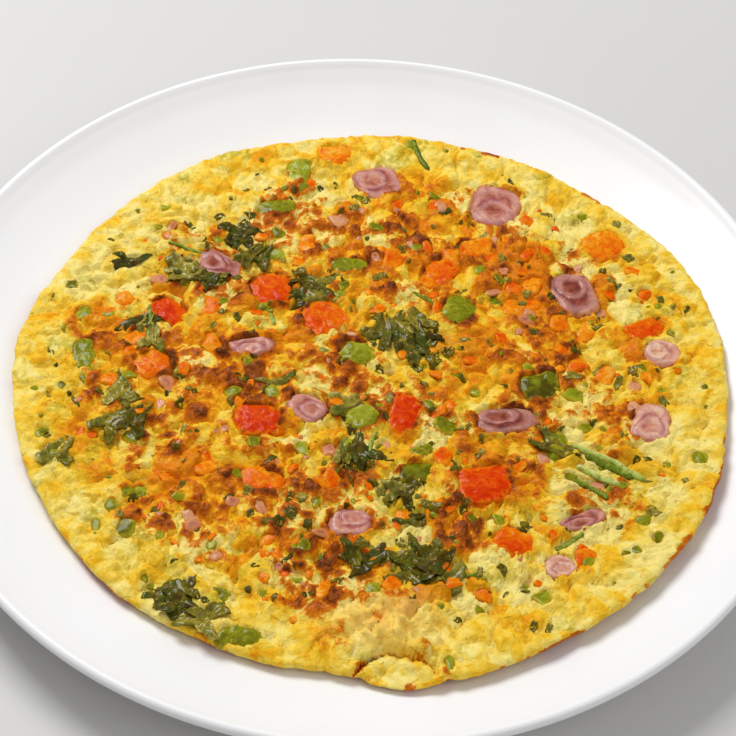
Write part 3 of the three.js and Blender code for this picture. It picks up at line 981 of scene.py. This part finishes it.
def build_stalks():
    """Stalks and cut strips, half sunk in the egg along their whole length."""
    rng = np.random.default_rng(44)
    parts = []
    sides, steps = 10, 18
    turn_round = np.tile(np.linspace(0, 2 * np.pi, sides, endpoint=False), steps)
    for x, y, length, turn, width, bend, shade in STALKS:
        along = np.linspace(-0.5, 0.5, steps) * length
        across = bend * (along**2 - length**2 / 12) + 0.15 * np.sin(along * 0.5 + rng.uniform(0, 6))
        half = width / 2 * (1 + 0.12 * np.sin(along * 1.1 + rng.uniform(0, 6)))
        half = np.maximum(half * smooth(0.51, 0.46, np.abs(along / length)), 0.12)
        px = np.repeat(along, sides)
        py = np.repeat(across, sides) + np.repeat(half, sides) * np.cos(turn_round)
        line = turned(np.stack([along, across, 0 * along], 1), x, y, math.radians(turn))
        skin = turned(np.stack([px, py, 0 * px], 1), x, y, math.radians(turn))
        ground = egg_surface(line[:, 0], line[:, 1])
        ground = np.convolve(np.pad(ground, 2, mode="edge"), np.ones(5) / 5, mode="valid")
        skin[:, 2] = np.repeat(ground + 0.15, sides) + 0.6 * np.repeat(half, sides) * np.sin(turn_round)
        grain = np.stack([px / length, np.cos(turn_round), np.sin(turn_round)], 1)
        parts.append((skin, closed_tube(steps, sides), marks(grain, shade)))
    new_piece("coriander_stalks", join_parts(parts), stalk())


# ---- materials ----


def colour(red, green, blue):
    """Blender's linear colour for an sRGB colour from 0 to 255."""
    shares = (red / 255, green / 255, blue / 255)
    return (*((c / 12.92 if c <= 0.04 else ((c + 0.055) / 1.055) ** 2.4) for c in shares), 1.0)


class Finish:
    """A Principled material, with short calls for the nodes that this scene's materials are made of."""

    def __init__(self, name, **settings):
        self.material = bpy.data.materials.new(name)
        self.material.use_nodes = True
        self.tree = self.material.node_tree
        self.shader = self.tree.nodes["Principled BSDF"]
        for key, value in settings.items():
            self.shader.inputs[key.replace("_", " ").title().replace("Ior", "IOR")].default_value = value
        self.place = self.node("ShaderNodeTexCoord", {}).outputs["Object"]

    def node(self, kind, feeds, **options):
        """A new node with its options set and its inputs fed."""
        made = self.tree.nodes.new(kind)
        for key, value in options.items():
            setattr(made, key, value)
        for socket, value in feeds.items():
            self.feed(made.inputs[socket], value)
        return made

    def feed(self, socket, value):
        """Links an output to a socket, or sets the socket to a plain value."""
        if isinstance(value, bpy.types.NodeSocket):
            self.tree.links.new(value, socket)
        else:
            socket.default_value = value

    def attribute(self, name):
        return self.node("ShaderNodeAttribute", {}, attribute_name=name).outputs["Fac"]

    def grain(self):
        """The piece's own grain, as X, Y and Z."""
        return self.axes(self.node("ShaderNodeAttribute", {}, attribute_name="grain").outputs["Vector"])

    def axes(self, vector):
        return self.node("ShaderNodeSeparateXYZ", {0: vector}).outputs

    def noise(self, size, detail=2.0, rough=0.5, distortion=0.0):
        """Noise with swells about `size` mm across."""
        feeds = {"Vector": self.place, "Scale": 1 / (size * MM), "Detail": detail}
        feeds.update({"Roughness": rough, "Distortion": distortion})
        return self.node("ShaderNodeTexNoise", feeds).outputs["Fac"]

    def cells(self, size):
        feeds = {"Vector": self.place, "Scale": 1 / (size * MM)}
        return self.node("ShaderNodeTexVoronoi", feeds, feature="SMOOTH_F1").outputs["Distance"]

    def math(self, operation, a, b=0.0):
        return self.node("ShaderNodeMath", {0: a, 1: b}, operation=operation).outputs[0]

    def total(self, *shares):
        """Sum of value times weight pairs."""
        result = 0.0
        for value, weight in shares:
            result = self.math("ADD", result, self.math("MULTIPLY", value, weight))
        return result

    def span(self, value, low, high):
        """0 to 1 as value goes smoothly from low to high."""
        feeds = {"Value": value, "From Min": low, "From Max": high}
        return self.node("ShaderNodeMapRange", feeds, interpolation_type="SMOOTHSTEP").outputs["Result"]

    def ramp(self, value, stops):
        """Colour along stops of (place, (red, green, blue))."""
        stops = list(stops)
        made = self.node("ShaderNodeValToRGB", {"Fac": value})
        elements = made.color_ramp.elements
        while len(elements) < len(stops):
            elements.new(0.5)
        for element, (place, shade) in zip(elements, stops):
            element.position = place
            element.color = colour(*shade)
        return made.outputs["Color"]

    def blend(self, share, a, b):
        return self.node("ShaderNodeMix", {"Factor": share, 6: a, 7: b}, data_type="RGBA").outputs[2]

    def tint(self, base, shade, share, most):
        """The base with a plain colour over it, at most `most` of it."""
        return self.blend(self.math("MULTIPLY", share, most), base, colour(*shade))

    def bump(self, height, depth):
        return self.node("ShaderNodeBump", {"Distance": depth * MM, "Height": height}).outputs["Normal"]

    def wear(self, base, roughness=None, normal=None):
        for key, value in (("Base Color", base), ("Roughness", roughness), ("Normal", normal)):
            if value is not None:
                self.feed(self.shader.inputs[key], value)
        return self.material


def porcelain():
    f = Finish("porcelain", specular_ior_level=0.3, coat_weight=0.12, coat_roughness=0.2)
    bisque = f.span(f.axes(f.place)["Z"], 0.9 * MM, 0.4 * MM)
    glaze = f.ramp(f.noise(60, 2), [(0.35, (240, 240, 240)), (0.65, (243, 243, 244))])
    base = f.tint(glaze, (214, 205, 190), bisque, 1.0)
    roughness = f.total((bisque, 0.35), (f.noise(8, 2), 0.06), (1.0, 0.32))
    return f.wear(base, roughness, f.bump(f.noise(14, 1), 0.03))


def cooked_egg():
    f = Finish(
        "cooked_egg",
        specular_ior_level=0.08,
        subsurface_weight=0.06,
        subsurface_scale=0.0012,
        coat_weight=0.06,
        coat_roughness=0.12,
    )
    browned_and_shaded, warm, green, height = (f.attribute(name) for name in ("browned_and_shaded", "warm", "green", "height"))
    fine = f.noise(0.9, 3, 0.6, 0.6)
    middle = f.noise(3.0, 3, 0.6, 1.0)
    tone = f.total((warm, 1.0), (fine, 0.32), (middle, 0.6), (1.0, -0.465))
    shades = [(244, 224, 130), (242, 210, 84), (240, 190, 34), (234, 156, 6), (222, 118, 2)]
    flesh = f.ramp(tone, zip((0.0, 0.25, 0.5, 0.75, 1.0), shades))
    flesh = f.tint(flesh, (168, 162, 34), f.math("MULTIPLY", green, f.span(middle, 0.38, 0.6)), 0.6)
    flesh = f.tint(flesh, (250, 214, 118), f.attribute("pale"), 0.6)
    # Painted shade: the low creases between the curds, found from the height, are darkened to ochre.
    flesh = f.tint(flesh, (172, 108, 10), f.span(f.total((height, 1.0), (fine, 0.3)), 0.52, 0.24), 0.6)
    swirl = f.noise(7.0, 1, 0.4, 1.2)
    wrinkle = f.span(f.math("ABSOLUTE", f.total((swirl, 1.0), (1.0, -0.5))), 0.08, 0.0)
    wrinkle = f.math("MULTIPLY", wrinkle, f.span(middle, 0.45, 0.6))
    # Painted shade: the wrinkle lines are darkened to a deeper gold, and the relief below also sinks them.
    flesh = f.tint(flesh, (214, 154, 30), wrinkle, 0.25)
    # Frying's colour, together with the painted shade that the egg's masks add in crevices, along the fold's
    # crease and low on the edge.
    fry_and_shade = f.total((browned_and_shaded, 1.0), (fine, 0.45), (middle, 0.9), (1.0, -0.875))
    shades = [(230, 152, 10), (214, 120, 4), (186, 92, 6), (140, 66, 8), (84, 40, 6)]
    crust_and_shade = f.ramp(fry_and_shade, zip((0.15, 0.36, 0.56, 0.76, 0.95), shades))
    base = f.blend(f.span(fry_and_shade, 0.08, 0.35), flesh, crust_and_shade)
    roughness = f.total((fine, 0.35), (middle, 0.2), (1.0, 0.25))
    relief = f.total((fine, 0.3), (middle, 0.6), (f.cells(2.2), 0.3), (wrinkle, -0.2))
    return f.wear(base, roughness, f.bump(relief, 1.1))


STEPS = (0.05, 0.3, 0.55, 0.8, 1.0)  # places along a vegetable's ramp


def vegetable(name, stops, shade_share, size, depth, edge, filmed=0.7, wet=0.14, smoothest=0.15):
    """A wet cooked vegetable: mottled along a ramp, specked by the pan and filmed with egg at its rim."""
    f = Finish(
        name,
        specular_ior_level=0.03,
        subsurface_weight=0.08,
        subsurface_scale=0.0015,
        coat_weight=wet,
        coat_roughness=0.07,
    )
    mottle = f.noise(size, 4, 0.6, 0.8)
    start = -0.6 + 0.5 * (0.95 - shade_share)
    # On an onion the grain's Y is its ridges, so this also paints them lighter, as a highlight.
    tone = f.total((f.attribute("shade"), shade_share), (mottle, 1.2), (f.grain()["Y"], 0.14), (1.0, start))
    base = f.ramp(tone, stops)
    base = f.tint(base, (130, 56, 8), f.span(f.noise(1.7, 3, 0.65), 0.58, 0.72), 0.6)
    film = f.total((f.attribute("rim"), 1.0), (f.noise(1.5, 3), 0.9), (1.0, -0.45))
    base = f.tint(base, edge, f.span(film, 0.72, 1.05), filmed)
    f.wear(base, f.total((mottle, 0.3), (1.0, smoothest)), f.bump(f.noise(0.8, 3), depth))
    return f, base


def tomato_flesh():
    shades = [(198, 40, 0), (216, 68, 0), (224, 104, 2), (232, 144, 14), (240, 180, 70)]
    film = (230, 136, 10)
    f, _ = vegetable("tomato_flesh", zip(STEPS, shades), 0.55, 2.6, 0.2, film, wet=0.09, smoothest=0.03)
    return f.material


def onion_flesh():
    """Mauve layers with a painted highlight along their ridges, and a purple line of skin along each."""
    shades = [(104, 42, 30), (150, 76, 58), (186, 116, 98), (210, 154, 126), (232, 194, 158)]
    film = (212, 142, 66)
    f, base = vegetable("onion_flesh", zip(STEPS, shades), 0.6, 3.2, 0.08, film, filmed=0.55, wet=0.22)
    grain = f.grain()
    # Painted highlight: the ridges are tinted pale.
    base = f.tint(base, (236, 200, 194), grain["Y"], 0.22)
    skin = f.math("MULTIPLY", grain["X"], f.span(f.noise(3.5, 2), 0.3, 0.65))
    skin = f.math("MULTIPLY", skin, f.span(f.attribute("shade"), -0.25, 0.4))
    return f.wear(f.tint(base, (142, 66, 98), skin, 0.5))


def pepper_flesh():
    shades = [(74, 66, 0), (104, 104, 2), (132, 134, 12), (158, 162, 40), (192, 192, 92)]
    return vegetable("pepper_flesh", zip(STEPS, shades), 0.6, 2.4, 0.2, (184, 160, 30), wet=0.22)[0].material


def wilted_leaf():
    shades = [(50, 44, 0), (80, 70, 4), (114, 102, 16), (152, 138, 46), (194, 182, 104)]
    f, base = vegetable("wilted_leaf", zip(STEPS, shades), 0.6, 1.6, 0.2, (150, 126, 20), wet=0.35)
    return f.wear(f.tint(base, (62, 84, 10), f.span(f.noise(5, 2), 0.5, 0.62), 0.5))


def stalk():
    stops = [(0.05, (70, 84, 8)), (0.4, (120, 134, 36)), (0.7, (170, 180, 84)), (1.0, (214, 218, 144))]
    return vegetable("stalk", stops, 0.6, 1.8, 0.15, (170, 160, 50))[0].material


# ---- studio ----

CAMERA_DISTANCE = 650
CAMERA_ELEVATION = 49.63
CAMERA_ROLL = 3.05
CAMERA_LENS = 104.2
CAMERA_TARGET = (1.65, 2.04, 12)
FLOOR_REACH = 4.0  # in metres


def put_in_scene(made, right, up, back, place):
    """Links a camera or light that looks along -back from a place in metres."""
    matrix = np.eye(4)
    matrix[:3, :] = np.stack([right, up, back, place], 1)
    made.matrix_world = Matrix(matrix.tolist())
    bpy.context.scene.collection.objects.link(made)


def place_camera():
    """A camera on the diner's side that looks down at the dish, turned a little about its line of sight."""
    tip, roll = math.radians(CAMERA_ELEVATION), math.radians(CAMERA_ROLL)
    back = np.array([0, -math.cos(tip), math.sin(tip)])
    level = np.array([[1.0, 0.0, 0.0], [0.0, math.sin(tip), math.cos(tip)]])
    right, up = np.array([[math.cos(roll), math.sin(roll)], [-math.sin(roll), math.cos(roll)]]) @ level
    data = bpy.data.cameras.new("camera")
    data.lens = CAMERA_LENS
    data.sensor_width = 36
    data.clip_start = 0.01
    camera = bpy.data.objects.new("camera", data)
    put_in_scene(camera, right, up, back, (np.array(CAMERA_TARGET) + back * CAMERA_DISTANCE) * MM)
    bpy.context.scene.camera = camera


def softbox(name, place, size, power):
    """A square area light at a place in metres, aimed at the dish."""
    data = bpy.data.lights.new(name, "AREA")
    data.size = size
    data.energy = power
    towards = -np.array(place) / np.linalg.norm(place)
    side = np.cross(towards, [0, 0, 1.0])
    side /= np.linalg.norm(side)
    put_in_scene(bpy.data.objects.new(name, data), side, np.cross(side, towards), -towards, place)


def build_studio():
    mesh = bpy.data.meshes.new("floor")
    corners = [(x * FLOOR_REACH, y * FLOOR_REACH, 0) for x, y in ((-1, -1), (1, -1), (1, 1), (-1, 1))]
    mesh.from_pydata(corners, [], [(0, 1, 2, 3)])
    floor = bpy.data.objects.new("floor", mesh)
    bpy.context.scene.collection.objects.link(floor)
    f = Finish("floor", roughness=0.6)
    mesh.materials.append(f.wear(f.ramp(f.noise(400, 2), [(0.3, (205, 204, 202)), (0.7, (209, 208, 206))])))
    softbox("key", (-0.5, 0.72, 1.08), 0.6, 15)
    softbox("fill", (0.9, -0.6, 1.2), 1.2, 5)
    world = bpy.data.worlds.new("studio")
    world.use_nodes = True
    world.node_tree.nodes["Background"].inputs["Color"].default_value = (1, 1, 1, 1)
    world.node_tree.nodes["Background"].inputs["Strength"].default_value = 0.38
    scene = bpy.context.scene
    scene.world = world
    scene.view_settings.view_transform = "Standard"
    scene.view_settings.look = "None"


place_camera()
build_studio()
small_bits = choose_bits()
leaves = choose_leaves()
press_stalks()
build_plate()
build_egg()
build_set_pieces()
build_small_bits(small_bits)
build_leaves(leaves)
build_flecks()
build_stalks()
